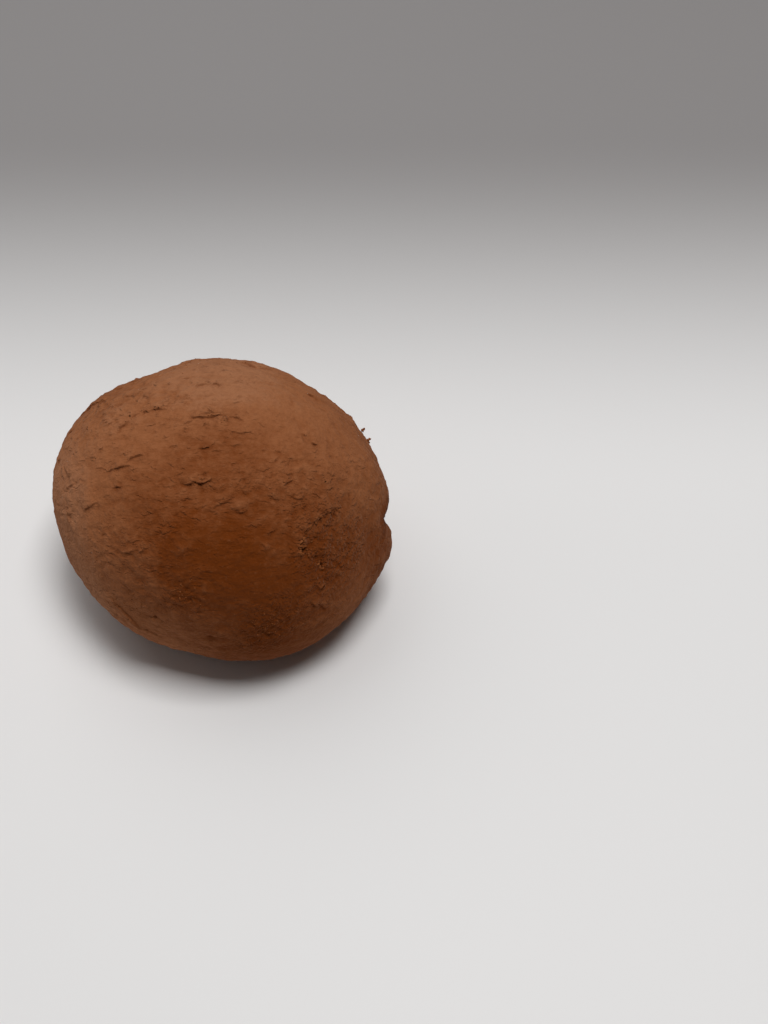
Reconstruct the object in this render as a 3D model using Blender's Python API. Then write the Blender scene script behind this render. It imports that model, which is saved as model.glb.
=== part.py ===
"""A chewy cookie: a soft ball of dough in a skin of cocoa, slumped onto a small flat seat.

Metres, +Z up. The origin lies on the surface under the cookie, at the middle of its length
(X) and width (Y). Bearings are degrees round the cookie from +X towards +Y. Rises are
degrees above (or below) its widest level, both seen from the middle of that level.
"""

import math

import bmesh
import bpy
import numpy as np
from mathutils import Vector, noise

MM = 0.001

# The whole cookie
LENGTH = 54 * MM
WIDTH = 48.5 * MM
HEIGHT = 35 * MM
GIRTH_LEVEL = 15 * MM   # height of the widest level
FULLNESS = 2.25         # 2 is an ellipsoid, more is fuller at the shoulders
SEAT_SHARE = 0.60       # radius of the flattened underside, as a share of the girth's
SEAT_ROUNDING = 1.1 * MM
SEAT_CALM = 3.3 * MM    # height below which the relief dies away towards the seat

# Slow swells (and hollows) of the form: bearing, rise, reach in degrees, height
SWELLS = [
    (62, 24, 24, -0.2 * MM),
    (150, 32, 24, -1.8 * MM),
    (188, 24, 24, 0.1 * MM),
    (216, 6, 24, -1.0 * MM),
    (240, -10, 24, -1.0 * MM),
    (266, -16, 24, 0.6 * MM),
    (294, -22, 24, -0.3 * MM),
    (320, -22, 24, 1.1 * MM),
    (352, -16, 24, 1.9 * MM),
    (17, -7, 12, 1.6 * MM),
    (24, 20, 12, 0.7 * MM),
    (28, 9, 8, 0.45 * MM),
]

# Kneading lumps: size of a lump, height
LUMPS = [(11 * MM, 0.45 * MM), (5 * MM, 0.20 * MM), (2.4 * MM, 0.07 * MM)]
LUMPS_START = 7.3       # where in the noise the lumps are taken from

# Torn lips of the skin. Each runs from one bearing and rise to another, bowed sideways, and
# stands up on its left side and drops into a groove on its right. Bow, lip height and groove
# depth are in millimetres.
LIPS = [
    # over the top
    (231, 84, 29, 81, 0.4, 0.42, 0.18),
    (114, 70, 104, 72, 0.2, 0.24, 0.10),
    (168, 68, 152, 78, 0.2, 0.24, 0.10),
    (201, 58, 194, 75, -0.3, 0.26, 0.10),
    (13, 78, 22, 72, 0.2, 0.22, 0.10),
    (6, 73, 5, 68, -0.3, 0.22, 0.12),
    (306, 70, 316, 72, 0.1, 0.20, 0.10),
    # the left shoulder
    (190, 32, 186, 42, 0.3, 0.34, 0.12),
    (218, 56, 212, 58, 0.2, 0.26, 0.10),
    (242, 48, 248, 54, 0.2, 0.32, 0.12),
    (246, 56, 250, 60, 0.3, 0.36, 0.14),
    (244, 29, 248, 36, 0.2, 0.26, 0.10),
    (216, 28, 228, 30, 0.4, 0.24, 0.10),
    (272, 26, 279, 30, 0.2, 0.22, 0.10),
    # the middle of the face
    (290, 56, 312, 58, -0.4, 0.52, 0.36),
    (315, 48, 322, 49, 0.3, 0.28, 0.12),
    (308, 46, 315, 48, 0.1, 0.26, 0.12),
    (320, 44, 326, 44, -0.3, 0.26, 0.16),
    (330, 34, 334, 34, 0.1, 0.22, 0.10),
    # the right shoulder
    (348, 45, 354, 44, 0.2, 0.38, 0.20),
    (338, 46, 342, 42, -0.1, 0.26, 0.12),
    (347, 41, 352, 37, -0.2, 0.26, 0.12),
    (353, 53, 4, 50, -0.4, 0.26, 0.12),
    (24, 50, 20, 43, 0.3, 0.28, 0.12),
    (62, 42, 56, 37, 0.1, 0.34, 0.14),
    # the torn edge of the large scab
    (338, 22, 340, 27, 0.0, 0.40, 0.20),
    (340, 27, 350, 30, 0.3, 0.42, 0.24),
    (350, 30, 2, 26, 0.3, 0.36, 0.18),
    # low down and round the back
    (259, -1, 277, -7, 0.5, 0.34, 0.24),
    (304, -1, 308, 2, 0.1, 0.22, 0.10),
    (106, 43, 90, 42, 0.3, 0.38, 0.10),
    (152, 38, 132, 42, 0.3, 0.24, 0.10),
    (75, 24, 52, 22, 0.4, 0.26, 0.14),
    (100, 8, 70, 2, 0.6, 0.28, 0.16),
    (168, 8, 140, 2, 0.6, 0.26, 0.14),
]
LIP_EDGE = 0.50 * MM      # how far the drop takes
LIP_PLATE = 2.2 * MM      # how far the lip's rise reaches back
LIP_APRON = 1.1 * MM      # how far the groove takes to come up again
LIP_TAPER = 0.8           # below 1 keeps a lip strong for more of its length

# Pits: bearing, rise, radius, depth
PITS = [
    (252, 44, 0.9 * MM, 0.35 * MM),
    (304, 22, 1.3 * MM, 0.25 * MM),
    (303, -1, 0.9 * MM, 0.35 * MM),
    (284, 4, 0.8 * MM, 0.30 * MM),
    (340, 25, 0.7 * MM, 0.45 * MM),
    (358, 26, 0.6 * MM, 0.35 * MM),
    (344, 16, 0.6 * MM, 0.45 * MM),
]

# Rough scabs where the skin has torn: bearing, rise, half length up, half width, relief
SCABS = [
    (350, 21, 6.4 * MM, 4.0 * MM, 0.30 * MM),
    (322, 2, 3.6 * MM, 3.6 * MM, 0.24 * MM),
    (85, -4, 4.0 * MM, 3.4 * MM, 0.26 * MM),
]
SCAB_GRAIN = 1.4 * MM
SCAB_FADE = 0.45        # share of a scab's half size over which it dies away
SCAB_PEAK = 1.8         # brings the noise's usual height up to the relief

# The pinched fold in the side, from one bearing and rise to another
FOLD = (18, 6, 32, -12)
FOLD_BOW = 0.5 * MM
FOLD_HALF_WIDTH = 1.3 * MM
FOLD_DEPTH = 1.9 * MM
FOLD_SHARPNESS = 1.2    # 1 is a sharp V, 2 is a round trough

# Mesh fineness
BALL_SUBDIVISIONS = 5
FINE_EDGE = 0.62 * MM
FINE_REACH = 1.20 * MM
FINE_PASSES = 2
FINE_PIT = 1.8          # reach round a pit, in its radii
PROFILE_STEP = 0.004    # step, in radians, that surface slopes are read over
FAR_SHARE = 9.0         # stands for well outside a line or a patch

COCOA = (0.23, 0.062, 0.020, 1.0)


def direction(bearing, rise):
    """The unit vector at a bearing and a rise in degrees."""
    turn = math.radians(bearing)
    lift = math.radians(rise)
    return np.array([math.cos(lift) * math.cos(turn), math.cos(lift) * math.sin(turn), math.sin(lift)])


def smooth_step(value, low, high):
    """0 below low, 1 above high, an S curve between."""
    share = np.clip((value - low) / (high - low), 0, 1)
    return share * share * (3 - 2 * share)


def settle(heights):
    """Press what would lie below the resting surface up into a flat seat with a round edge."""
    eased = (heights + SEAT_ROUNDING) ** 2 / (4 * SEAT_ROUNDING)
    lifted = np.where(heights < SEAT_ROUNDING, eased, heights)
    return np.where(heights < -SEAT_ROUNDING, 0, lifted)


def ball(directions):
    """Points of the plump, even form in the given directions from the middle of its girth."""
    lower = GIRTH_LEVEL / (1 - SEAT_SHARE ** FULLNESS) ** (1 / FULLNESS)
    upright = np.where(directions[:, 2] > 0, HEIGHT - GIRTH_LEVEL, lower)
    stretch = np.abs(directions[:, 0] / (LENGTH / 2)) ** FULLNESS
    stretch = stretch + np.abs(directions[:, 1] / (WIDTH / 2)) ** FULLNESS
    stretch = stretch + np.abs(directions[:, 2] / upright) ** FULLNESS
    radius = stretch ** (-1 / FULLNESS)
    for bearing, rise, reach, height in SWELLS:
        apart = np.arccos(np.clip(directions @ direction(bearing, rise), -1, 1))
        radius = radius + height * np.exp(-(apart / math.radians(reach)) ** 2)
    points = directions * radius[:, None]
    points[:, 2] = settle(points[:, 2] + GIRTH_LEVEL)
    return points


def ball_normals(directions):
    """Outward normals of the even form, from the slopes between close neighbours."""
    axis = np.where(np.abs(directions[:, 2:3]) < 0.9, [[0.0, 0.0, 1.0]], [[1.0, 0.0, 0.0]])
    east = np.cross(axis, directions)
    east /= np.linalg.norm(east, axis=1, keepdims=True)
    north = np.cross(directions, east)
    slopes = []
    for side in (east, north):
        ahead = directions + side * PROFILE_STEP
        behind = directions - side * PROFILE_STEP
        ahead /= np.linalg.norm(ahead, axis=1, keepdims=True)
        behind /= np.linalg.norm(behind, axis=1, keepdims=True)
        slopes.append(ball(ahead) - ball(behind))
    normals = np.cross(slopes[0], slopes[1])
    return normals / np.linalg.norm(normals, axis=1, keepdims=True)


def spot_frame(bearing, rise):
    """A point of the even form with its normal."""
    toward = direction(bearing, rise)[None]
    return ball(toward)[0], ball_normals(toward)[0]


def line_frame(line):
    """Middle, direction along, direction to the left, normal and half length of a line."""
    start = spot_frame(line[0], line[1])[0]
    end = spot_frame(line[2], line[3])[0]
    span = direction(line[0], line[1]) + direction(line[2], line[3])
    span = (span / np.linalg.norm(span))[None]
    middle = ball(span)[0]
    normal = ball_normals(span)[0]
    along = end - start
    half = np.linalg.norm(along) / 2
    along = along - normal * (along @ normal)
    along = along / np.linalg.norm(along)
    return middle, along, np.cross(normal, along), normal, half


def beside(points, line, bow):
    """Where points lie beside a bowed line: share of its half length, distance to its left."""
    middle, along, left, normal, half = line_frame(line)
    offset = points - middle
    share = (offset @ along) / half
    aside = offset @ left - bow * (1 - share ** 2)
    deep = np.abs(offset @ normal) > half + LIP_PLATE
    return np.where(deep, FAR_SHARE, share), aside


def lip_relief(points, lip):
    """Rise of one torn lip and drop of the groove at its foot."""
    bow, lip_height, groove_depth = (size * MM for size in lip[4:])
    share, aside = beside(points, lip, bow)
    taper = np.clip(1 - share ** 2, 0, 1) ** LIP_TAPER
    height = lip_height * np.exp(-np.maximum(aside, 0) / LIP_PLATE)
    depth = groove_depth * np.exp(-np.maximum(-aside, 0) / LIP_APRON)
    standing = smooth_step(aside, -LIP_EDGE / 2, LIP_EDGE / 2)
    return taper * (height * standing - depth * (1 - standing))


def patch_shares(points, bearing, rise, half_up, half_wide):
    """How far points lie from the middle of a patch, upward and sideways, in its half sizes."""
    middle, normal = spot_frame(bearing, rise)
    wide = np.cross([0.0, 0.0, 1.0], normal)
    wide = wide / np.linalg.norm(wide)
    up = np.cross(normal, wide)
    offset = points - middle
    deep = np.abs(offset @ normal) > half_up + half_wide
    return np.where(deep, FAR_SHARE, offset @ up / half_up), offset @ wide / half_wide


def grain(points, size):
    """Smooth seeded noise from about -1 to 1 whose lumps have the given size."""
    return np.array([noise.noise(Vector(point / size + LUMPS_START)) for point in points])


def scab_relief(points, scab):
    """Crusty knobs and holes inside one torn patch."""
    bearing, rise, half_up, half_wide, height = scab
    up, wide = patch_shares(points, bearing, rise, half_up, half_wide)
    inside = smooth_step(1 - np.hypot(up, wide), 0, SCAB_FADE)
    near = inside > 0
    relief = np.zeros(len(points))
    relief[near] = inside[near] * height * SCAB_PEAK * grain(points[near], SCAB_GRAIN)
    return relief


def fold_relief(points):
    """The crease of the pinched side."""
    share, aside = beside(points, FOLD, FOLD_BOW)
    taper = np.clip(1 - share ** 2, 0, 1)
    return -FOLD_DEPTH * taper * np.exp(-np.abs(aside / FOLD_HALF_WIDTH) ** FOLD_SHARPNESS)


def relief(points):
    """Height of everything raised on, or sunk into, the even form."""
    height = np.zeros(len(points))
    for size, rise in LUMPS:
        height += rise * grain(points, size)
    for lip in LIPS:
        height += lip_relief(points, lip)
    for bearing, rise, radius, depth in PITS:
        up, wide = patch_shares(points, bearing, rise, radius, radius)
        height -= depth * np.exp(-np.hypot(up, wide) ** 2)
    for scab in SCABS:
        height += scab_relief(points, scab)
    height += fold_relief(points)
    return height * smooth_step(points[:, 2], 0, SEAT_CALM)


def needs_fineness(points):
    """Which points lie beside a lip, in a scab or a pit, or at the fold."""
    fine = np.zeros(len(points), dtype=bool)
    for lip in LIPS:
        share, aside = beside(points, lip, lip[4] * MM)
        fine |= (np.abs(share) < 1) & (np.abs(aside) < FINE_REACH)
    for bearing, rise, half_up, half_wide, _ in SCABS:
        up, wide = patch_shares(points, bearing, rise, half_up, half_wide)
        fine |= np.hypot(up, wide) < 1
    for bearing, rise, radius, _ in PITS:
        up, wide = patch_shares(points, bearing, rise, radius, radius)
        fine |= np.hypot(up, wide) < FINE_PIT
    share, aside = beside(points, FOLD, FOLD_BOW)
    fine |= (np.abs(share) < 1) & (np.abs(aside) < 2 * FOLD_HALF_WIDTH)
    return fine


def vertex_directions(mesh):
    """Unit vectors to the vertices of a mesh that lies on the unit ball."""
    places = np.array([vertex.co[:] for vertex in mesh.verts])
    return places / np.linalg.norm(places, axis=1, keepdims=True)


def refine(mesh):
    """Split the long edges of the unit ball wherever the relief is small and sharp."""
    mesh.edges.ensure_lookup_table()
    ends = np.array([[vertex.co[:] for vertex in edge.verts] for edge in mesh.edges])
    ends /= np.linalg.norm(ends, axis=2, keepdims=True)
    middles = ends.sum(axis=1)
    middles /= np.linalg.norm(middles, axis=1, keepdims=True)
    lengths = np.linalg.norm(ball(ends[:, 0]) - ball(ends[:, 1]), axis=1)
    chosen = needs_fineness(ball(middles)) & (lengths > FINE_EDGE)
    edges = [mesh.edges[i] for i in np.flatnonzero(chosen)]
    bmesh.ops.subdivide_edges(mesh, edges=edges, cuts=1)
    bmesh.ops.triangulate(mesh, faces=mesh.faces)
    for vertex in mesh.verts:
        vertex.co.normalize()


def fit_box(points):
    """Centre the points on the origin and give them exactly the cookie's size."""
    low = points.min(axis=0)
    high = points.max(axis=0)
    centred = points - [(low[0] + high[0]) / 2, (low[1] + high[1]) / 2, low[2]]
    return centred * (np.array([LENGTH, WIDTH, HEIGHT]) / (high - low))


def make_cookie():
    """The whole cookie as one closed solid."""
    mesh = bmesh.new()
    bmesh.ops.create_icosphere(mesh, subdivisions=BALL_SUBDIVISIONS, radius=1)
    for _ in range(FINE_PASSES):
        refine(mesh)
    directions = vertex_directions(mesh)
    even = ball(directions)
    raised = even + ball_normals(directions) * relief(even)[:, None]
    for vertex, place in zip(mesh.verts, fit_box(raised)):
        vertex.co = place
    data = bpy.data.meshes.new("cookie")
    mesh.to_mesh(data)
    mesh.free()
    data.shade_smooth()
    cookie = bpy.data.objects.new("cookie", data)
    bpy.context.scene.collection.objects.link(cookie)
    return cookie


def cocoa_material():
    """Dull brown cocoa powder."""
    material = bpy.data.materials.new("cocoa_skin")
    material.use_nodes = True
    surface = material.node_tree.nodes["Principled BSDF"]
    surface.inputs["Base Color"].default_value = COCOA
    surface.inputs["Roughness"].default_value = 0.85
    surface.inputs["Metallic"].default_value = 0.0
    material.diffuse_color = COCOA
    return material


for old in list(bpy.data.objects):
    bpy.data.objects.remove(old)
make_cookie().data.materials.append(cocoa_material())
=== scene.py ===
# A chewy cookie in its cocoa skin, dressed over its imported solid. Metres, +Z up.
import math

import bpy
import numpy as np
from mathutils import Euler, Matrix, Vector, kdtree, noise


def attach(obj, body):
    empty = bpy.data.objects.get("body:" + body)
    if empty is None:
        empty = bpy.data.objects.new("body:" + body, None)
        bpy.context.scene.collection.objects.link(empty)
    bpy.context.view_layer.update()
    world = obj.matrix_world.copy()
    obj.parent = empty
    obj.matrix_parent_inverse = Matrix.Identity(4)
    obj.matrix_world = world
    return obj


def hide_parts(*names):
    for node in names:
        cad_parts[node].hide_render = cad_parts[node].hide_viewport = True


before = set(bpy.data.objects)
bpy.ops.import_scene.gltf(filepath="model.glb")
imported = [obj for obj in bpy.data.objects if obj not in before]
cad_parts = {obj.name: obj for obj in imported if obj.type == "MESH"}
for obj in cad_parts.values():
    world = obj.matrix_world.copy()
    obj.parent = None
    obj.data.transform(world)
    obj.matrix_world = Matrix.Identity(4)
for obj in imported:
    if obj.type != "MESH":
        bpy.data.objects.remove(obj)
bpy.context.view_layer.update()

mm = 0.001


def pick(thing):
    bpy.ops.object.select_all(action="DESELECT")
    thing.select_set(True)
    bpy.context.view_layer.objects.active = thing


def toward(bearing, rise):
    # unit vector: bearing from +X towards +Y, rise above the level, in degrees
    bearing, rise = math.radians(bearing), math.radians(rise)
    flat = math.cos(rise)
    return np.array([flat * math.cos(bearing), flat * math.sin(bearing), math.sin(rise)])


def sCurve(value, low, high):
    # smooth step from 0 at low to 1 at high
    share = np.clip((value - low) / (high - low), 0, 1)
    return share * share * (3 - 2 * share)


def speckle(points, size, offset=0.0):
    # smooth noise, about -1 to 1, one lump every size
    return np.array([noise.noise(Vector(point)) for point in points / size + offset])


# Skin

skin = {
    # bearings and rises are seen from the middle, with the cookie's own squeeze taken out
    "middle": (-0.89 * mm, 0.26 * mm, 14.87 * mm),
    "squeeze": (0.969, 0.982, 0.991),
    "merge": 1e-6,           # vertices closer than this are one
    "voxel": 0.44 * mm,
    "calming": 0.5,
    "calmRounds": 4,
    "seed": 7,
    # level across the face, up it, and steeper, as the ledges climb
    "levelWay": (0.866, 0.5, 0),
    "upWay": (-0.38, 0.66, 0.64),
    "ledgeWay": (-0.25, 0.42, 0.87),
    # faces are split this far beside a lip, in two rounds, this far along it, in half lengths,
    # and round a hole where it still has this share of its depth
    "fineReach": (0.825 * mm, 0.55 * mm),
    "fineEnds": 1.05,
    "fineHole": 0.1,
    "seatFade": (0.2 * mm, 2.0 * mm),   # the relief comes in between these heights
    "spotReach": 2.2,        # how many radii out a round spot is felt
    "sameSide": 0.2,         # a lip moves only what faces its way, by a cosine above this
    "lipHeight": 0.27 * mm,
    "lipDepth": 0.10 * mm,
    "lipEdge": 0.26 * mm,    # how far the drop takes
    "lipPlate": 1.0 * mm,    # how far the lip's rise reaches back
    "lipApron": 0.50 * mm,   # how far the groove takes to come up again
    "lipReach": 1.6 * mm,    # how far beside its line a lip is felt
    "lipTaper": 0.6,         # under 1, a lip keeps its height towards its ends
    "lipLean": 0.04 * mm,    # how far the lip hangs over its groove
    "leanWidth": 0.25 * mm,
    # the painted shade along a lip: where its darkest line lies, and how wide it is
    "crackAside": 0.08 * mm,    # how far into the groove its darkest line lies
    "crackWidth": 0.21 * mm,
    # how a lip's line wanders: size and swing in mm, noise offset
    "wander": [
        (1.5, 0.20, 0.0),
        (0.6, 0.11, 3.1),
        (0.28, 0.05, 6.4),
    ],
    # looks that vary over the skin: each swings about the usual, one cloud every size
    "looks": {
        "torn": {"usual": 0.85, "swing": 0.60, "size": 0.9 * mm, "offset": 12.5, "least": 0.4, "most": 1.3},
        "flaky": {"usual": 0.62, "swing": 0.50, "size": 7 * mm, "offset": 11.0, "least": 0, "most": 1.5},
        "grainy": {"usual": 0.30, "swing": 0.25, "size": 6 * mm, "offset": 17.0, "least": 0, "most": 1},
        "dusty": {"usual": 0.50, "swing": 0.20, "size": 12 * mm, "offset": 23.0, "least": 0, "most": 1.3},
    },
    # torn lips, high on their left: from bearing, rise to bearing, rise, bow in mm, strength
    "lips": [
        # over the top
        (222, 84, 30, 80, -0.2, 1.7),
        (116, 70, 103, 71, 0.3, 1.5),
        (136, 71, 116, 70, 0.1, 1.1),
        (168, 68, 166, 74, -0.2, 0.7),
        (164, 76, 152, 78, 0.1, 0.6),
        (208, 59, 202, 63, 0.2, 0.9),
        (202, 63, 196, 75, 0.3, 0.9),
        (188, 70, 178, 73, 0.2, 0.5),
        (194, 47, 196, 52, 0.1, 0.5),
        (151, 62, 131, 64, 0.2, 0.5),
        (9, 79, 23, 79, 0.2, 1.1),
        (23, 79, 20, 72, 0.1, 0.8),
        (355, 77, 4, 69, -0.4, 1.0),
        (260, 78, 270, 79, 0.0, 0.6),
        (304, 71, 316, 72, 0.1, 0.9),
        # the left shoulder
        (188, 25, 186, 42, 0.2, 1.3),
        (218, 55, 209, 59, 0.2, 1.3),
        (224, 46, 226, 48, 0.0, 0.8),
        (240, 45, 249, 54, 0.2, 1.1),
        (245, 54, 252, 61, 0.3, 1.2),
        (233, 42, 238, 46, 0.1, 0.6),
        (230, 34, 234, 36, 0.1, 0.5),
        (250, 43, 254, 46, 0.2, 0.9),
        (228, 27, 231, 32, 0.1, 0.7),
        (228, 20, 231, 14, 0.2, 0.7),
        (244, 29, 248, 36, 0.2, 0.8),
        (216, 28, 228, 30, 0.4, 0.7),
        (232, 24, 245, 15, 0.3, 0.5),
        (284, 40, 290, 42, 0.1, 0.4),
        (272, 40, 278, 44, 0.1, 0.4),
        (270, 26, 279, 30, 0.2, 0.6),
        (284, 22, 287, 23, 0.1, 0.5),
        # the middle of the face
        (288, 56, 301, 57, -0.1, 1.4),
        (299, 57, 312, 58, -0.3, 1.5),
        (288, 48, 292, 50, 0.0, 0.5),
        (312, 47, 322, 49, 0.3, 0.8),
        (308, 46, 315, 48, 0.1, 0.5),
        (320, 44, 326, 44, -0.3, 0.7),
        (328, 51, 328, 48, 0.0, 0.6),
        (294, 32, 298, 33, 0.1, 0.4),
        (302, 26, 306, 26, 0.2, 0.6),
        (302, 19, 304, 19, 0.1, 0.6),
        (296, 20, 298, 20, 0.1, 0.4),
        (330, 34, 334, 34, 0.1, 0.8),
        (326, 32, 328, 30, 0.1, 0.5),
        # the right shoulder
        (356, 60, 358, 58, 0.1, 0.5),
        (2, 56, 2, 53, 0.1, 0.6),
        (338, 46, 342, 42, -0.1, 0.8),
        (347, 41, 352, 37, -0.2, 0.8),
        (348, 45, 354, 44, 0.2, 1.2),
        (353, 53, 0, 53, 0.2, 0.7),
        (356, 50, 4, 50, -0.3, 0.6),
        (24, 50, 22, 48, 0.1, 0.8),
        (20, 46, 20, 43, 0.1, 0.8),
        (62, 42, 56, 37, 0.1, 1.0),
        (4, 40, 6, 37, 0.1, 0.6),
        (4, 36, 9, 34, -0.2, 0.5),
        # the torn edge of the large scab
        (338, 23, 340, 27, 0.0, 0.9),
        (340, 27, 346, 29, 0.2, 0.9),
        (346, 29, 354, 29, 0.2, 0.8),
        (354, 29, 2, 26, 0.3, 0.7),
        (338, 26, 342, 25, -0.2, 1.9),
        (358, 28, 358, 24, 0.2, 0.7),
        (344, 18, 344, 14, 0.1, 0.9),
        (341, 23, 341, 20, 0.0, 0.7),
        # low down
        (259, -1, 268, 0, -0.2, 0.7),
        (277, -6, 266, 4, -0.3, 1.5),
        (285, -9, 277, -6, -0.2, 0.5),
        (282, 3, 284, 5, 0.0, 0.7),
        (304, -1, 308, 2, 0.1, 0.6),
        (340, 9, 343, 10, 0.1, 1.2),
        (336, 7, 338, 4, 0.0, 1.5),
        (338, 5, 341, 0, 0.2, 0.8),
        (313, -6, 319, -2, 0.2, 0.7),
        (14, 5, 25, 9, -0.1, 0.5),
        # round the back
        (106, 43, 94, 46, 0.1, 1.2),
        (94, 46, 89, 40, 0.1, 0.6),
        (152, 38, 146, 42, 0.1, 0.9),
        (139, 42, 132, 42, 0.1, 0.9),
        (168, 38, 165, 42, 0.1, 0.9),
        (175, 35, 173, 40, 0.1, 0.9),
        (200, 26, 198, 29, 0.1, 0.9),
        (212, 23, 210, 25, 0.1, 0.9),
        (75, 24, 66, 22, 0.2, 0.8),
        (62, 20, 54, 21, 0.3, 0.7),
        (97, 8, 86, 5, 0.3, 0.8),
        (160, 9, 152, 5, 0.2, 0.7),
        (124, 22, 116, 24, 0.3, 0.8),
        (60, 50, 44, 54, 0.3, 0.7),
        (150, 18, 158, 24, -0.3, 0.7),
    ],
    # places of their own look: bearing, rise, radius in mm, more ledges, more grain, more dust
    "places": [
        (340, 46, 8.5, 0.35, 0.20, 0.05),
        (300, 64, 7.0, 0.35, 0.10, -0.18),
        (10, 76, 8.0, 0.35, 0.00, -0.10),
        # the top: more dust, and partly a painted highlight
        (118, 60, 10.0, 0.00, 0.00, 1.10),
        (50, 46, 9.0, -0.55, -0.10, 0.25),
        (200, 56, 9.5, 0.95, 0.10, 0.15),
        # the far left rim: more dust, and partly a painted rim highlight
        (225, 24, 9.0, -0.15, 0.10, 0.85),
        (236, 36, 6.0, -0.30, -0.10, 0.00),
        # the lower left rim: more dust, and partly a painted rim highlight
        (252, -2, 8.0, 0.00, 0.20, 0.95),
        (290, -14, 7.0, 0.00, 0.20, 0.10),
        (320, -12, 8.0, 0.00, 0.20, -0.25),
        (350, 18, 6.5, -0.25, 0.80, -0.20),
        (4, 0, 7.0, 0.00, 0.00, -0.40),
        (350, -8, 6.0, 0.00, 0.00, 0.35),
        (8, 20, 5.0, 0.00, 0.00, 0.10),
        # less dust by the fold's notch: painted shade in its crease
        (19, 7, 1.7, 0.00, 0.00, -1.10),
        (352, 28, 4.0, 0.00, 0.00, -0.15),
        (332, 6, 10.0, 0.00, 0.00, -0.25),
        (322, 4, 4.6, 0.00, 0.90, -0.25),
        (296, 16, 5.0, 0.30, 0.40, -0.15),
        (316, 28, 9.0, -0.40, -0.25, -0.37),
        (290, 30, 7.0, 0.00, 0.00, -0.25),
        (320, 50, 9.0, -0.10, 0.00, -0.02),
        (252, 62, 5.5, -0.40, -0.20, 0.10),
        (255, 42, 4.0, -0.30, -0.10, 0.00),
        (18, 62, 6.0, -0.35, -0.10, 0.10),
        (85, -4, 6.0, 0.20, 0.90, -0.20),
        (130, 30, 8.0, 0.40, 0.20, 0.10),
        (180, 10, 7.0, -0.30, 0.10, 0.30),
    ],
    # the pinched fold, from bearing, rise to bearing, rise, bow, width and depth in mm
    "fold": (14, 10, 31, -12, 0.4, 0.40, 0.75),
    # crumbly places, split finer: bearing, rise, radius in mm
    "crumbly": [
        (350, 18, 6.5),
        (322, 4, 4.5),
        (296, 16, 3.5),
        (24, -2, 3.5),
    ],
    # small lumps of dough: bearing, rise, radius, height in mm
    "nubs": [
        (294, 33.5, 0.9, 0.20),
        (298, 34.5, 0.9, 0.20),
        (284, 20, 1.0, 0.20),
        (322, 46, 0.45, 0.22),
        (342, 26, 0.5, 0.26),
        (328, 30, 0.4, 0.18),
        (330, 28, 0.4, 0.18),
        (304, 20, 0.8, 0.14),
        (341, 35, 0.4, 0.14),
    ],
    # holes: bearing, rise, radius, depth in mm; each is also darkened with painted shade
    "holes": [
        (340, 24.5, 0.50, 0.42),
        (344, 16, 0.38, 0.36),
        (358, 26, 0.36, 0.24),
        (343, 20, 0.26, 0.25),
        (290, 45, 0.30, 0.22),
        (252, 44, 0.50, 0.10),
        (284, 4, 0.32, 0.12),
        (298, 16, 0.30, 0.18),
        (303, -1, 0.40, 0.12),
        (306, 60, 0.36, 0.20),
    ],
    # painted shade by the fold's notch, darker than a groove above 1: bearing, rise, radius in mm, darkness
    "paintedShade": [
        (14, 4, 0.9, 1.8),
        (17, 6, 1.1, 2.6),
        (20, 7, 1.1, 2.6),
        (24, 8, 0.9, 2.0),
    ],
    "nubTop": 1.5,           # above 1, a nub is flat on top
    "foldFlat": 4 * mm,      # the fold's own level is taken over this far
    # painted shade along the fold: how dark it is, and how wide
    "foldDark": 1.6,
    "foldDarkWidth": 1.2,    # in widths of the fold
    # short torn lips strewn at random: half lengths and bows in mm
    "flakes": {
        "count": 480,
        "half": (0.35, 1.3),
        "bow": 0.25,
        "strength": (0.15, 0.55),
        "evenly": 0.25,      # chance of one where the skin isn't flaky
        "slant": 0.40,       # how far they stray from level, in radians
        "fan": 22,           # radians per metre by which they turn along the level way
    },
    # pits, with dark the painted shade in them
    "pits": {"count": 260, "radius": (0.12, 0.40), "depth": (0.2, 0.45), "dark": 0.5},
    # staircases of slow noise: size and rise in mm, riser's share of a step, noise offset
    "ledges": [
        (3.0, 0.21, 0.18, 5.0),
        (1.5, 0.07, 0.26, 9.0),
    ],
    # how the steps bend: swing and size in steps, more noise offset
    "ledgeBends": [
        (1.5, 1.9, 0),
        (0.35, 0.55, 2),
    ],
    # the painted shade in each riser's groove: where it lies, how wide in risers, how dark
    "ledgeGroove": {"at": 0.97, "width": 0.5, "dark": 0.5},
    # lumps of dough: size in mm, height everywhere, height by a power of grainy, that power, noise offset
    "lumps": [
        (2.4, 0.11, 0, 1, 4.0),
        (1.0, 0.045, 0.1125, 1, 2.0),
        (0.55, 0, 0.11, 2, 8.0),
    ],
}


def copySolid():
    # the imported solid, merged, then remeshed evenly so that no facet is left
    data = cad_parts["cookie"].data.copy()
    cookieSkin = bpy.data.objects.new("cookieSkin", data)
    bpy.context.scene.collection.objects.link(cookieSkin)
    pick(cookieSkin)
    bpy.ops.object.mode_set(mode="EDIT")
    bpy.ops.mesh.select_all(action="SELECT")
    bpy.ops.mesh.remove_doubles(threshold=skin["merge"])
    bpy.ops.object.mode_set(mode="OBJECT")
    data.materials.clear()
    even = cookieSkin.modifiers.new("even", "REMESH")
    even.mode = "VOXEL"
    even.voxel_size = skin["voxel"]
    bpy.ops.object.modifier_apply(modifier=even.name)
    calm = cookieSkin.modifiers.new("calm", "SMOOTH")
    calm.factor = skin["calming"]
    calm.iterations = skin["calmRounds"]
    bpy.ops.object.modifier_apply(modifier=calm.name)
    return cookieSkin


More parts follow.
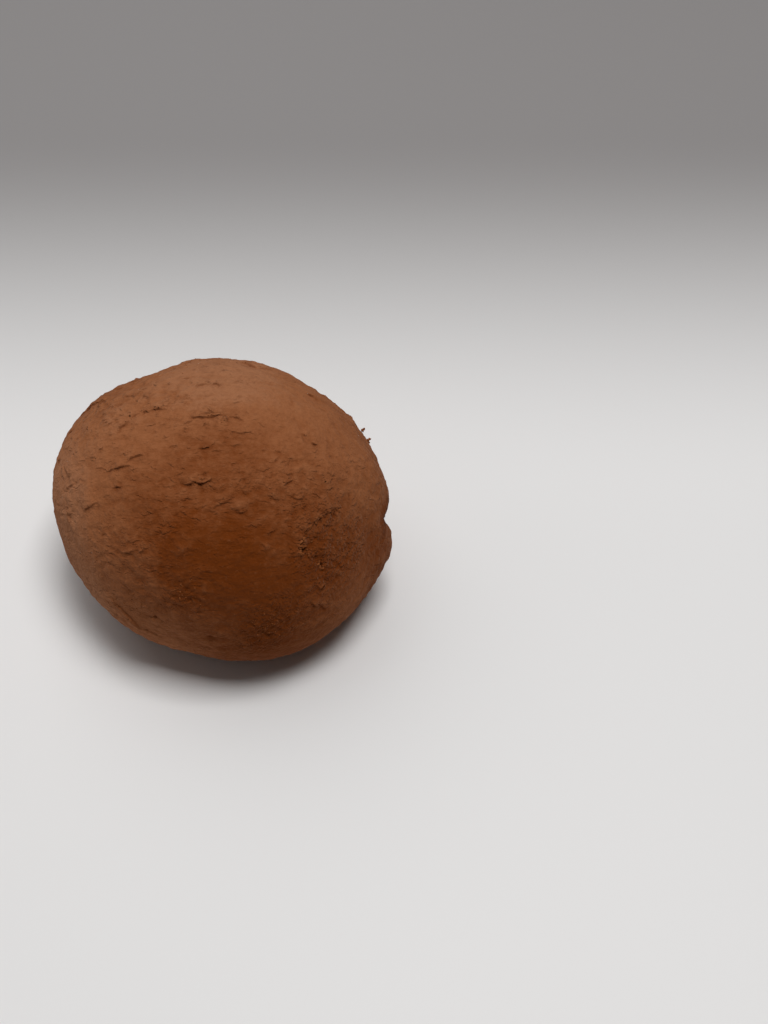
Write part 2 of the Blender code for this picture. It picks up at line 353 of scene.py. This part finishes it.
class SkinMap:
    # the skin's vertices, and what lies near a place on it
    def __init__(self, cookieSkin):
        data = cookieSkin.data
        points = np.empty(len(data.vertices) * 3)
        data.vertices.foreach_get("co", points)
        normals = np.empty(len(data.vertices) * 3, dtype=np.float32)
        data.vertex_normals.foreach_get("vector", normals)
        self.points = points.reshape(-1, 3)
        self.normals = normals.reshape(-1, 3).astype(float)
        rays = (self.points - skin["middle"]) / skin["squeeze"]
        self.rays = rays / np.linalg.norm(rays, axis=1, keepdims=True)
        self.tree = kdtree.KDTree(len(self.points))
        for number, point in enumerate(self.points):
            self.tree.insert(point, number)
        self.tree.balance()

    def near(self, at, reach):
        return np.array([found[1] for found in self.tree.find_range(Vector(at), reach)], dtype=int)

    def hit(self, ray):
        # the vertex that a ray from the middle comes nearest to
        return int(np.argmax(self.rays @ ray))

    def spot(self, bearing, rise):
        return self.hit(toward(bearing, rise))

    def round(self, at, radius):
        # 1 at a vertex, falling to 0 over a radius
        near = self.near(self.points[at], skin["spotReach"] * radius)
        far = np.linalg.norm(self.points[near] - self.points[at], axis=1)
        return near, np.exp(-(far / radius) ** 2)

    def place(self, bearing, rise, radius):
        # the same round a named place, its radius in mm
        return self.round(self.spot(bearing, rise), radius * mm)

    def namedLip(self, bearing, rise, bearing2, rise2, bow, strength):
        first = toward(bearing, rise)
        last = toward(bearing2, rise2)
        along = self.points[self.hit(last)] - self.points[self.hit(first)]
        return self.lip(self.hit(first + last), along, np.linalg.norm(along) / 2, bow * mm, strength)

    def lip(self, at, along, half, bow, strength):
        normal = self.normals[at]
        along = along - normal * (along @ normal)
        along = along / np.linalg.norm(along)
        return {"at": self.points[at], "along": along, "left": np.cross(normal, along), "normal": normal,
                "half": half, "bow": bow, "strength": strength}

    def beside(self, lip, wander=None):
        # vertices near a lip: how far along in half lengths, how far to its left
        near = self.near(lip["at"], lip["half"] + skin["lipReach"])
        near = near[self.normals[near] @ lip["normal"] > skin["sameSide"]]
        offset = self.points[near] - lip["at"]
        share = offset @ lip["along"] / lip["half"]
        aside = offset @ lip["left"] - lip["bow"] * (1 - share ** 2)
        if wander is not None:
            aside = aside + wander[near]
        return near, share, aside


def refine(cookieSkin, chosen):
    # split the faces round the chosen vertices
    pick(cookieSkin)
    bpy.ops.object.mode_set(mode="EDIT")
    bpy.ops.mesh.select_mode(type="VERT")
    bpy.ops.mesh.select_all(action="DESELECT")
    bpy.ops.object.mode_set(mode="OBJECT")
    cookieSkin.data.vertices.foreach_set("select", chosen)
    bpy.ops.object.mode_set(mode="EDIT")
    bpy.ops.mesh.select_mode(type="EDGE")
    bpy.ops.mesh.subdivide(number_cuts=1, quadcorner="INNERVERT")
    bpy.ops.mesh.select_all(action="SELECT")
    bpy.ops.mesh.quads_convert_to_tris(quad_method="SHORTEST_DIAGONAL", ngon_method="BEAUTY")
    bpy.ops.object.mode_set(mode="OBJECT")


def refineSkin(cookieSkin):
    # lips and holes are split twice, crumbly places once
    for step, reach in enumerate(skin["fineReach"]):
        skinMap = SkinMap(cookieSkin)
        chosen = np.zeros(len(skinMap.points), dtype=bool)
        if step == 0:
            for bearing, rise, radius in skin["crumbly"]:
                chosen[skinMap.near(skinMap.points[skinMap.spot(bearing, rise)], radius * mm)] = True
        for row in skin["lips"]:
            near, share, aside = skinMap.beside(skinMap.namedLip(*row))
            chosen[near[(np.abs(share) < skin["fineEnds"]) & (np.abs(aside) < reach)]] = True
        for row in skin["holes"]:
            near, share = skinMap.place(*row[:3])
            chosen[near[share > skin["fineHole"]]] = True
        refine(cookieSkin, chosen)


class Relief:
    # everything raised, sunk or leant on the skin, gathered before it moves
    def __init__(self, skinMap):
        self.map = skinMap
        points = skinMap.points
        self.height = np.zeros(len(points))
        # painted shade in grooves, creases, pits and holes, handed to the material as a layer
        self.crackShade = np.zeros(len(points))
        self.lean = np.zeros((len(points), 3))
        self.wander = mm * sum(swing * speckle(points, size * mm, offset)
                               for size, swing, offset in skin["wander"])
        self.look = {}
        for name, look in skin["looks"].items():
            self.look[name] = look["usual"] + look["swing"] * speckle(points, look["size"], look["offset"])
        for bearing, rise, radius, ledges, grain, dust in skin["places"]:
            near, share = skinMap.place(bearing, rise, radius)
            self.look["flaky"][near] += ledges * share
            self.look["grainy"][near] += grain * share
            self.look["dusty"][near] += dust * share
        for name, look in skin["looks"].items():
            self.look[name] = np.clip(self.look[name], look["least"], look["most"])

    # painted shade: where marks overlap, the darkest is kept
    def paintShade(self, near, dark):
        self.crackShade[near] = np.maximum(self.crackShade[near], dark)

    def tear(self, lip):
        near, share, aside = self.map.beside(lip, self.wander)
        strength = self.look["torn"][near] * lip["strength"]
        taper = np.clip(1 - share ** 2, 0, 1) ** skin["lipTaper"] * strength
        standing = sCurve(aside, -skin["lipEdge"] / 2, skin["lipEdge"] / 2)
        up = skin["lipHeight"] * np.exp(-np.maximum(aside, 0) / skin["lipPlate"])
        down = skin["lipDepth"] * np.exp(-np.maximum(-aside, 0) / skin["lipApron"])
        self.height[near] += taper * (up * standing - down * (1 - standing))
        edge = np.exp(-(aside / skin["leanWidth"]) ** 2) * standing * taper
        self.lean[near] -= edge[:, None] * skin["lipLean"] * lip["left"]
        # painted shade along the groove under the lip
        line = np.exp(-((aside + skin["crackAside"]) / skin["crackWidth"]) ** 2)
        self.paintShade(near, np.clip(taper, 0, 1) * line)

    def flakes(self, dice):
        # short torn lips strewn over the skin, more where it is flaky, roughly level
        flake = skin["flakes"]
        for number in range(flake["count"]):
            at = int(dice.integers(len(self.map.points)))
            half = dice.uniform(*flake["half"]) * mm
            slant = dice.normal(0, flake["slant"]) - flake["fan"] * self.map.points[at] @ skin["levelWay"]
            bow = dice.uniform(-flake["bow"], flake["bow"]) * mm
            strength = dice.uniform(*flake["strength"])
            if dice.random() > flake["evenly"] + self.look["flaky"][at]:
                continue
            level = np.cross(skin["upWay"], self.map.normals[at])
            level /= np.linalg.norm(level)
            across = np.cross(self.map.normals[at], level)
            along = -(level * math.cos(slant) + across * math.sin(slant))
            self.tear(self.map.lip(at, along, half, bow, strength))

    def ledges(self, size, rise, riser, offset):
        # a staircase of slow noise: long tipped treads, short risers that face down and out
        climb = self.map.points @ np.array(skin["ledgeWay"]) / size
        for swing, stretch, more in skin["ledgeBends"]:
            climb += swing * speckle(self.map.points, stretch * size, offset + more)
        share = climb - np.floor(climb)
        strength = self.look["flaky"] * self.look["torn"]
        self.height += strength * rise * (sCurve(share, 0, riser) - share)
        # painted shade in the groove at the foot of each riser
        groove = skin["ledgeGroove"]
        line = np.exp(-((share - groove["at"]) / (groove["width"] * riser)) ** 2)
        self.crackShade = np.maximum(self.crackShade, np.clip(groove["dark"] * strength * line, 0, 1))

    def lumps(self):
        for size, even, grained, power, offset in skin["lumps"]:
            high = (even + grained * self.look["grainy"] ** power) * mm
            self.height += high * speckle(self.map.points, size * mm, offset)

    def fold(self, bearing, rise, bearing2, rise2, bow, width, depth):
        # the solid's crease, cut sharp again, with painted shade along it
        first, last = self.map.spot(bearing, rise), self.map.spot(bearing2, rise2)
        middle = self.map.hit(self.map.rays[first] + self.map.rays[last])
        around = self.map.normals[self.map.near(self.map.points[middle], skin["foldFlat"])].mean(axis=0)
        self.map.normals[middle] = around / np.linalg.norm(around)
        along = self.map.points[last] - self.map.points[first]
        crease = self.map.lip(middle, along, np.linalg.norm(along) / 2, bow * mm, 1.0)
        near, share, aside = self.map.beside(crease, self.wander)
        taper = np.clip(1 - share ** 2, 0, 1)
        self.height[near] -= depth * mm * taper * np.exp(-np.abs(aside) / (width * mm))
        line = np.exp(-np.abs(aside) / (skin["foldDarkWidth"] * width * mm))
        self.paintShade(near, skin["foldDark"] * taper * line)

    def pits(self, dice):
        pit = skin["pits"]
        for number in range(pit["count"]):
            at = int(dice.integers(len(self.map.points)))
            radius = dice.uniform(*pit["radius"]) * mm
            near, share = self.map.round(at, radius)
            self.height[near] -= radius * dice.uniform(*pit["depth"]) * share
            # painted shade in the pit
            self.paintShade(near, pit["dark"] * share)

    def apply(self, cookieSkin):
        seat = sCurve(self.map.points[:, 2], *skin["seatFade"])
        moved = self.map.points + (self.map.normals * self.height[:, None] + self.lean) * seat[:, None]
        moved[:, 2] = np.maximum(moved[:, 2], 0)
        data = cookieSkin.data
        data.vertices.foreach_set("co", moved.ravel())
        data.update()
        data.shade_smooth()
        layers = {"crackShade": self.crackShade * seat, "lift": self.height / mm, "flaky": self.look["flaky"],
                  "grainy": self.look["grainy"], "dusty": self.look["dusty"]}
        for name, values in layers.items():
            layer = data.attributes.new(name, "FLOAT", "POINT")
            layer.data.foreach_set("value", values.astype(np.float32))


def shapeSkin(cookieSkin):
    relief = Relief(SkinMap(cookieSkin))
    dice = np.random.default_rng(skin["seed"])
    relief.flakes(dice)
    for size, rise, riser, offset in skin["ledges"]:
        relief.ledges(size * mm, rise * mm, riser, offset)
    for row in skin["lips"]:
        relief.tear(relief.map.namedLip(*row))
    relief.lumps()
    for bearing, rise, radius, height in skin["nubs"]:
        near, share = relief.map.place(bearing, rise, radius)
        relief.height[near] += height * mm * np.clip(skin["nubTop"] * share, 0, 1)
    for bearing, rise, radius, depth in skin["holes"]:
        near, share = relief.map.place(bearing, rise, radius)
        relief.height[near] -= depth * mm * share
        # painted shade in the hole
        relief.paintShade(near, share)
    # painted shade by the fold's notch
    for bearing, rise, radius, darkness in skin["paintedShade"]:
        near, share = relief.map.place(bearing, rise, radius)
        relief.paintShade(near, darkness * share)
    relief.fold(*skin["fold"])
    relief.pits(dice)
    relief.apply(cookieSkin)


cookieSkin = copySolid()
print("skin evened", len(cookieSkin.data.polygons))
refineSkin(cookieSkin)
print("skin refined", len(cookieSkin.data.polygons))
shapeSkin(cookieSkin)
print("skin shaped", len(cookieSkin.data.polygons))


# Shader maths

class Wire:
    # a socket to calculate with: each operator adds its node
    def __init__(self, board, socket):
        self.board = board
        self.socket = socket

    def maths(self, operation, first, second):
        return self.board.node("ShaderNodeMath", {"operation": operation}, {0: first, 1: second})

    def __add__(self, other):
        return self.maths("ADD", self, other)

    def __sub__(self, other):
        return self.maths("SUBTRACT", self, other)

    def __rsub__(self, other):
        return self.maths("SUBTRACT", other, self)

    def __mul__(self, other):
        return self.maths("MULTIPLY", self, other)

    __radd__ = __add__
    __rmul__ = __mul__

    def clipped(self, low, high):
        # smooth step from 0 at low to 1 at high
        return self.board.node("ShaderNodeMapRange", {"clamp": True, "interpolation_type": "SMOOTHSTEP"},
                               {"Value": self, "From Min": low, "From Max": high})

    def scaled(self, even, more):
        # an even amount, and so much more where this is 1
        return self * more + even


class Board:
    # a material's nodes
    def __init__(self, name):
        self.material = bpy.data.materials.new(name)
        self.material.use_nodes = True
        self.tree = self.material.node_tree
        self.surface = self.tree.nodes["Principled BSDF"]

    def node(self, kind, settings, sockets, out=0):
        made = self.tree.nodes.new(kind)
        for name, value in settings.items():
            setattr(made, name, value)
        for name, value in sockets.items():
            self.plug(made.inputs[name], value)
        return Wire(self, made.outputs[out])

    def plug(self, socket, value):
        if isinstance(value, Wire):
            self.tree.links.new(value.socket, socket)
        else:
            socket.default_value = value

    def finish(self, sockets):
        for name, value in sockets.items():
            self.plug(self.surface.inputs[name], value)
        return self.material

    def objectPlace(self):
        return self.node("ShaderNodeTexCoord", {}, {}, out="Object")

    def painted(self, name):
        return self.node("ShaderNodeAttribute", {"attribute_name": name}, {}, out="Fac")

    def noise(self, place, size, detail=3.0, roughness=0.55):
        # smooth noise from 0 to 1, one lump every size
        return self.node("ShaderNodeTexNoise", {"noise_dimensions": "3D"},
                         {"Vector": place, "Scale": 1 / size, "Detail": detail, "Roughness": roughness})

    def cells(self, place, size, out):
        return self.node("ShaderNodeTexVoronoi", {"voronoi_dimensions": "3D"},
                         {"Vector": place, "Scale": 1 / size}, out=out)

    def along(self, place, way):
        return self.node("ShaderNodeVectorMath", {"operation": "DOT_PRODUCT"},
                         {0: place, 1: way}, out="Value")

    def stretched(self, place, bearing, length):
        # a place drawn out along a level way, so that noise runs in wrinkles
        sockets = {"Vector": place, "Rotation": (0, 0, math.radians(bearing)), "Scale": (length, 1, 1)}
        return self.node("ShaderNodeMapping", {"vector_type": "TEXTURE"}, sockets)

    def mix(self, factor, first, second):
        # colour mix: sockets 6 and 7 are the colours A and B, output 2 the colour
        return self.node("ShaderNodeMix", {"data_type": "RGBA", "clamp_factor": True},
                         {0: factor, 6: first, 7: second}, out=2)


# The cocoa

cocoa = {
    # the groove colour is painted shade in grooves and cracks; deep is darker painted shade past 1, and also
    # the dark specks
    "deep": (0.066, 0.016, 0.005, 1),
    "groove": (0.112, 0.025, 0.004, 1),
    "clean": (0.141, 0.031, 0.004, 1),
    "dusty": (0.285, 0.104, 0.041, 1),
    "pale": (0.360, 0.165, 0.085, 1),
    "roughness": (0.84, 0.16),    # least, and what the clouds add
    "specular": 0.03,
    "sheen": 0.11,
    "sheenRoughness": 0.5,
    "sheenTint": (1.0, 0.58, 0.38, 1),
    "sizes": {
        "clouds": 9 * mm,
        "blotches": 2.6 * mm,
        "mottle": 1.2 * mm,
        "fine": 0.5 * mm,
        "powder": 0.26 * mm,
        "rough": 0.8 * mm,
        "wrinkles": 1.1 * mm,
        "largeStrokes": 1.9 * mm,
        "smallStrokes": 1.1 * mm,
        "bends": 0.9 * mm,   # in the strokes
        "grains": 0.52 * mm,
    },
    "wrinkleBearing": 30,    # degrees
    "wrinkleLength": 2.2,    # times their width
    # the dust: what makes it lie thicker, from where it covers, and from where it is palest; lift, the
    # relief's height, also paints a highlight on raised lips
    "dust": {"clouds": 0.5, "blotches": 0.2, "mottle": 0.45, "wrinkles": 0.35, "lift": 0.7},
    "dustFrom": (0.35, 1.35),
    "paleFrom": (1.25, 1.75),
    "paleShare": 0.45,
    "paleSpecks": {"powder": 0.5, "from": (0.80, 1.10), "share": 0.14},
    "darkSpecks": {"blotches": 0.4, "from": (0.74, 0.46), "share": (0.10, 0.16)},
    "patchFrom": (0.85, 1.30),    # the patches of grains
    # how dark the painted shade is: in the strokes' grooves, between the grains, and in a crack, up to 1 and
    # past 1
    "dark": {"large": 0.55, "small": 0.30, "grains": 0.22, "most": 1.1, "crackShade": 0.5, "deepest": 0.6},
    # relief in mm; of two numbers the second comes on top where it is flaky, patchy or grainy
    "relief": {"large": 0.28, "small": 0.17, "strokes": (0.20, 0.80), "grains": (0.02, 0.16),
               "wrinkles": (0.28, 0.22), "rough": (0.14, 0.20), "fine": 0.09, "powder": 0.03},
    "bump": 0.9,
}

# a short torn stroke, drawn by the material; the widths are in mm from its line
stroke = {
    "fan": (17, 10, 0),      # the strokes turn so much per metre
    "bend": 1.1,
    "ends": (0.55, 0.15),    # in cells: none past the first, full within the second
    "kept": (0.15, 0.50),    # chances: no stroke under the first, a full one over the second
    "edge": 0.11,
    "plate": 0.5,
    "plateHigh": 0.6,
    "apron": 0.3,
    "apronLow": 0.5,
    # where the painted shade in the groove starts, is darkest and ends
    "groove": (-0.26, -0.06, 0.10),     # from, darkest, to
}


def strokes(board, place, size, bent):
    # one stroke to a cell: a lip on the upper side, a groove under it darkened with painted shade
    middle = board.cells(place, size, "Position")
    chance = board.cells(place, size, "Color")
    far = board.cells(place, size, "Distance")
    offset = board.node("ShaderNodeVectorMath", {"operation": "SUBTRACT"}, {0: place, 1: middle})
    slant = board.along(chance, (1, 0, 0)) - 0.5 + board.along(place, stroke["fan"])
    aside = board.along(offset, np.array(skin["ledgeWay"]) / mm)
    aside = aside + board.along(offset, np.array(skin["levelWay"]) / mm) * slant
    aside = aside + (bent - 0.5) * stroke["bend"]
    taper = far.clipped(*stroke["ends"]) * board.along(chance, (0, 1, 0)).clipped(*stroke["kept"])
    standing = aside.clipped(-stroke["edge"], stroke["edge"])
    lip = standing * aside.clipped(stroke["plate"], 0.0) * stroke["plateHigh"]
    low = (1 - standing) * aside.clipped(-stroke["apron"], 0.0) * stroke["apronLow"]
    start, deepest, end = stroke["groove"]
    groove = aside.clipped(start, deepest) * aside.clipped(end, deepest)
    return {"rise": (lip - low) * taper, "crackShade": groove * taper}


grain = {"push": 0.6 * mm, "round": (0.62, 0.10)}


def grains(board, place, size, bent):
    # round grains packed side by side, 1 on top of a grain and 0 between them
    pushed = board.node("ShaderNodeVectorMath", {"operation": "MULTIPLY_ADD"},
                        {0: [grain["push"]] * 3, 1: bent, 2: place})
    return board.cells(pushed, size, "Distance").clipped(*grain["round"])


def cocoaSkin(name):
    board = Board(name)
    place = board.objectPlace()
    crackShade = board.painted("crackShade")
    lift = board.painted("lift")
    flaky = board.painted("flaky")
    grainy = board.painted("grainy")
    dusty = board.painted("dusty")
    size = cocoa["sizes"]
    clouds = board.noise(place, size["clouds"], detail=4.0)
    blotches = board.noise(place, size["blotches"])
    mottle = board.noise(place, size["mottle"])
    fine = board.noise(place, size["fine"], detail=2.0)
    powder = board.noise(place, size["powder"], detail=1.0)
    rough = board.noise(place, size["rough"], roughness=0.5)
    drawnOut = board.stretched(place, cocoa["wrinkleBearing"], cocoa["wrinkleLength"])
    wrinkles = board.noise(drawnOut, size["wrinkles"], roughness=0.6)
    bent = board.noise(place, size["bends"], roughness=0.6)
    large = strokes(board, place, size["largeStrokes"], bent)
    small = strokes(board, place, size["smallStrokes"], bent)
    packed = grains(board, place, size["grains"], bent)
    patches = (blotches + grainy).clipped(*cocoa["patchFrom"])

    # colour: clean cocoa where it was handled, dust elsewhere, painted shade in the cracks and grooves
    thick = cocoa["dust"]
    dust = dusty + clouds * thick["clouds"] + blotches * thick["blotches"] + (mottle - 0.5) * thick["mottle"]
    # dust lies thicker on raised lips, and this also paints a highlight on their tops
    dust = dust + (wrinkles - 0.5) * thick["wrinkles"] + lift * thick["lift"]
    colour = board.mix(dust.clipped(*cocoa["dustFrom"]), cocoa["clean"], cocoa["dusty"])
    colour = board.mix(dust.clipped(*cocoa["paleFrom"]) * cocoa["paleShare"], colour, cocoa["pale"])
    specks = cocoa["paleSpecks"]
    light = (fine + powder * specks["powder"]).clipped(*specks["from"]) * specks["share"]
    colour = board.mix(light, colour, cocoa["pale"])
    specks = cocoa["darkSpecks"]
    dim = (blotches * specks["blotches"] + fine).clipped(*specks["from"]) * grainy.scaled(*specks["share"])
    colour = board.mix(dim, colour, cocoa["deep"])
    dark = cocoa["dark"]
    # painted shade in the strokes' grooves and between the grains
    shade = (large["crackShade"] * dark["large"] + small["crackShade"] * dark["small"]) * flaky
    shade = shade + (1 - packed) * patches * dark["grains"]
    colour = board.mix(shade.clipped(0.0, dark["most"]), colour, cocoa["groove"])
    # painted shade in cracks, creases, pits and holes, going to the deep colour past 1
    colour = board.mix(crackShade * dark["crackShade"], colour, cocoa["groove"])
    colour = board.mix((crackShade - 1) * dark["deepest"], colour, cocoa["deep"])

    high = cocoa["relief"]
    relief = (large["rise"] * high["large"] + small["rise"] * high["small"]) * flaky.scaled(*high["strokes"])
    relief = relief + packed * patches.scaled(*high["grains"])
    relief = relief + wrinkles * flaky.scaled(*high["wrinkles"])
    relief = relief + rough * grainy.scaled(*high["rough"])
    relief = relief + fine * high["fine"] + powder * high["powder"]
    bump = board.node("ShaderNodeBump", {}, {"Strength": cocoa["bump"], "Distance": mm, "Height": relief})
    return board.finish({
        "Base Color": colour,
        "Roughness": clouds.scaled(*cocoa["roughness"]),
        "Specular IOR Level": cocoa["specular"],
        "Sheen Weight": cocoa["sheen"],
        "Sheen Roughness": cocoa["sheenRoughness"],
        "Sheen Tint": cocoa["sheenTint"],
        "Normal": bump,
    })


cookieSkin.data.materials.append(cocoaSkin("cocoaSkin"))
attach(cookieSkin, "root")
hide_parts("cookie")

# Crumbs

crumbs = {
    "dark": (0.125, 0.033, 0.007, 1),
    "light": (0.255, 0.085, 0.028, 1),
    "cloud": 1.6 * mm,
    "lightFrom": (0.30, 0.70),
    "roughness": 0.9,
    "specular": 0.03,
    "stray": 0.30,           # how far the model crumb's corners stray
    "straySeed": 3,
    "flat": -0.55,           # level of the cut under it
    "stretch": (0.65, 1.2),
    "seed": 11,
    "lifted": 0.10,          # share of its radius that a crumb's middle stands off the skin
    "lowest": 1.5 * mm,
    # each strewn crumb lies within its own share of the place's reach: the least share, and the
    # power that it is raised to
    "strewFrom": 0.15,
    "strewPower": 0.7,
    # a tuft starts under the skin and narrows outwards: the shares of its reach where it starts
    # and would come to a point, and how far its crumbs stray
    "tuftRoot": -0.2,
    "tuftTip": 1.1,
    "tuftStray": 0.15 * mm,
    # along a torn edge: bearing, rise to bearing, rise, spread in mm, count, radii in mm
    "edges": [
        (338, 23, 340, 27, 0.55, 4, 0.14, 0.34),
        (340, 27, 346, 29, 0.60, 7, 0.14, 0.36),
        (346, 29, 354, 29, 0.60, 10, 0.12, 0.34),
        (354, 29, 2, 26, 0.70, 8, 0.10, 0.28),
        (338, 26, 342, 25, 0.40, 4, 0.14, 0.30),
        (344, 18, 344, 14, 0.60, 9, 0.12, 0.32),
        (299, 57, 312, 58, 0.40, 6, 0.08, 0.16),
    ],
    # strewn over a place: bearing, rise, reach in mm, count, radii in mm
    "places": [
        (350, 18, 5.5, 60, 0.06, 0.15),
        (342, 24, 2.0, 14, 0.08, 0.22),
        (322, 4, 3.8, 50, 0.07, 0.16),
        (296, 16, 3.5, 24, 0.07, 0.15),
        (276, 8, 5.0, 20, 0.07, 0.14),
        (340, 44, 7.0, 30, 0.06, 0.13),
        (85, -4, 4.0, 50, 0.08, 0.20),
        (300, 40, 26.0, 60, 0.05, 0.11),
        (120, 40, 26.0, 60, 0.05, 0.11),
    ],
    # tufts that stand off the side: bearing, rise, reach out in mm, count, radii in mm
    "tufts": [
        (49, 17.6, 0.75, 18, 0.16, 0.26),
        (45.6, 15.7, 0.55, 15, 0.15, 0.24),
    ],
}


def modelCrumb():
    # one rough grain, cut flat underneath
    bpy.ops.object.select_all(action="DESELECT")
    bpy.ops.mesh.primitive_ico_sphere_add(subdivisions=1, radius=1.0)
    crumb = bpy.context.object
    bpy.ops.object.mode_set(mode="EDIT")
    bpy.ops.mesh.select_all(action="SELECT")
    bpy.ops.transform.vertex_random(offset=crumbs["stray"], seed=crumbs["straySeed"])
    bpy.ops.mesh.bisect(plane_co=(0, 0, crumbs["flat"]), plane_no=(0, 0, 1), use_fill=True, clear_inner=True)
    bpy.ops.mesh.select_all(action="SELECT")
    bpy.ops.mesh.quads_convert_to_tris()
    bpy.ops.mesh.normals_make_consistent(inside=False)
    bpy.ops.object.mode_set(mode="OBJECT")
    return crumb


class CrumbBox:
    # copies of the model crumb, each with its own mesh, set on the skin
    def __init__(self, model, skinMap, dice):
        self.model = model
        self.map = skinMap
        self.dice = dice
        self.crumbs = []

    def settle(self, at, low, high, offset=0):
        normal = self.map.normals[at]
        radius = self.dice.uniform(low, high) * mm
        data = self.model.data.copy()
        spin = Euler(self.dice.uniform(0, 2 * math.pi, 3)).to_matrix().to_4x4()
        stretch = Matrix.Diagonal([*self.dice.uniform(*crumbs["stretch"], 3) * radius, 1])
        middle = Vector(self.map.points[at] + offset + normal * radius * crumbs["lifted"])
        data.transform(Matrix.Translation(middle) @ spin @ stretch)
        crumb = bpy.data.objects.new("cocoaCrumb", data)
        bpy.context.scene.collection.objects.link(crumb)
        self.crumbs.append(crumb)

    def edge(self, bearing, rise, bearing2, rise2, spread, count, low, high):
        for share in self.dice.uniform(0, 1, count):
            ray = toward(bearing, rise) * (1 - share) + toward(bearing2, rise2) * share
            around = self.map.near(self.map.points[self.map.hit(ray)], spread * mm)
            self.settle(int(self.dice.choice(around)), low, high)

    def strew(self, bearing, rise, reach, count, low, high):
        middle = self.map.points[self.map.spot(bearing, rise)]
        for share in self.dice.uniform(crumbs["strewFrom"], 1, count) ** crumbs["strewPower"]:
            around = self.map.near(middle, reach * mm * share)
            around = around[self.map.points[around, 2] > crumbs["lowest"]]
            self.settle(int(self.dice.choice(around)), low, high)

    def tuft(self, bearing, rise, reach, count, low, high):
        at = self.map.spot(bearing, rise)
        for share in np.linspace(crumbs["tuftRoot"], 1, count):
            stray = self.dice.normal(0, crumbs["tuftStray"], 3) * (crumbs["tuftTip"] - share)
            self.settle(at, low, high, self.map.normals[at] * reach * mm * share + stray)

    def joined(self, name):
        bpy.data.objects.remove(self.model)
        bpy.ops.object.select_all(action="DESELECT")
        for crumb in self.crumbs:
            crumb.select_set(True)
        bpy.context.view_layer.objects.active = self.crumbs[0]
        bpy.ops.object.join()
        whole = bpy.context.object
        whole.name = name
        return whole


def crumbSkin(name):
    board = Board(name)
    shade = board.noise(board.objectPlace(), crumbs["cloud"], detail=2.0).clipped(*crumbs["lightFrom"])
    return board.finish({
        "Base Color": board.mix(shade, crumbs["dark"], crumbs["light"]),
        "Roughness": crumbs["roughness"],
        "Specular IOR Level": crumbs["specular"],
    })


crumbBox = CrumbBox(modelCrumb(), SkinMap(cookieSkin), np.random.default_rng(crumbs["seed"]))
for row in crumbs["edges"]:
    crumbBox.edge(*row)
for row in crumbs["places"]:
    crumbBox.strew(*row)
for row in crumbs["tufts"]:
    crumbBox.tuft(*row)
cocoaCrumbs = crumbBox.joined("cocoaCrumbs")
cocoaCrumbs.data.materials.append(crumbSkin("cocoaCrumbs"))
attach(cocoaCrumbs, "root")
print("crumbs strewn", len(cocoaCrumbs.data.polygons))

# Camera, at the photograph's angle; azimuth 0 looks along +Y
view = {"azimuth": 30, "elevation": 50, "lens": 45, "distance": 200.0 * mm, "across": 25.8 * mm,
        "upward": -2.6 * mm, "height": 17.5 * mm, "clipStart": 0.01}
back = Vector(toward(view["azimuth"] - 90, view["elevation"]))
right = Vector(toward(view["azimuth"], 0))
upward = back.cross(right)
lookAt = Vector((0, 0, view["height"])) + right * view["across"] + upward * view["upward"]
bpy.ops.object.camera_add(location=lookAt + back * view["distance"])
camera = bpy.context.object
camera.rotation_euler = Matrix((right, upward, back)).transposed().to_euler()
camera.data.lens = view["lens"]
camera.data.clip_start = view["clipStart"]
bpy.context.scene.camera = camera

# Table, pale, with painted shade darkening it towards the back
table = {"size": 3.0, "near": (0.78, 0.77, 0.765, 1), "far": (0.26, 0.247, 0.245, 1),
         "backShade": (15 * mm, 125 * mm), "roughness": 0.6}
bpy.ops.object.select_all(action="DESELECT")
bpy.ops.mesh.primitive_plane_add(size=table["size"], location=(0, 0, 0))
floor = bpy.context.object
floor.name = "paleTable"
paint = Board("paleTable")
backShade = paint.along(paint.objectPlace(), toward(view["azimuth"] + 90, 0)).clipped(*table["backShade"])
floor.data.materials.append(paint.finish({
    "Base Color": paint.mix(backShade, table["near"], table["far"]),
    "Roughness": table["roughness"],
}))

# Soft studio light
lamps = [
    # name, azimuth round the cookie, elevation, distance, size, power
    ("keyAbove", 108, 79, 0.9, 0.36, 5.65),
    ("softBehind", 240, 55, 0.9, 0.9, 2.4),
    ("softLeft", 300, 25, 0.9, 0.7, 0.7),
]
for name, azimuth, elevation, distance, size, power in lamps:
    way = Vector(toward(azimuth - 90, elevation))
    bpy.ops.object.light_add(type="AREA", location=way * distance)
    lamp = bpy.context.object
    lamp.name = name
    lamp.rotation_euler = way.to_track_quat("Z", "Y").to_euler()
    lamp.data.size = size
    lamp.data.energy = power
room = {"colour": (1.0, 0.98, 0.95, 1), "strength": 0.06}
world = bpy.data.worlds.new("room")
world.use_nodes = True
air = world.node_tree.nodes["Background"]
air.inputs["Color"].default_value = room["colour"]
air.inputs["Strength"].default_value = room["strength"]
bpy.context.scene.world = world
bpy.context.scene.view_settings.view_transform = "Standard"

print("dressed")
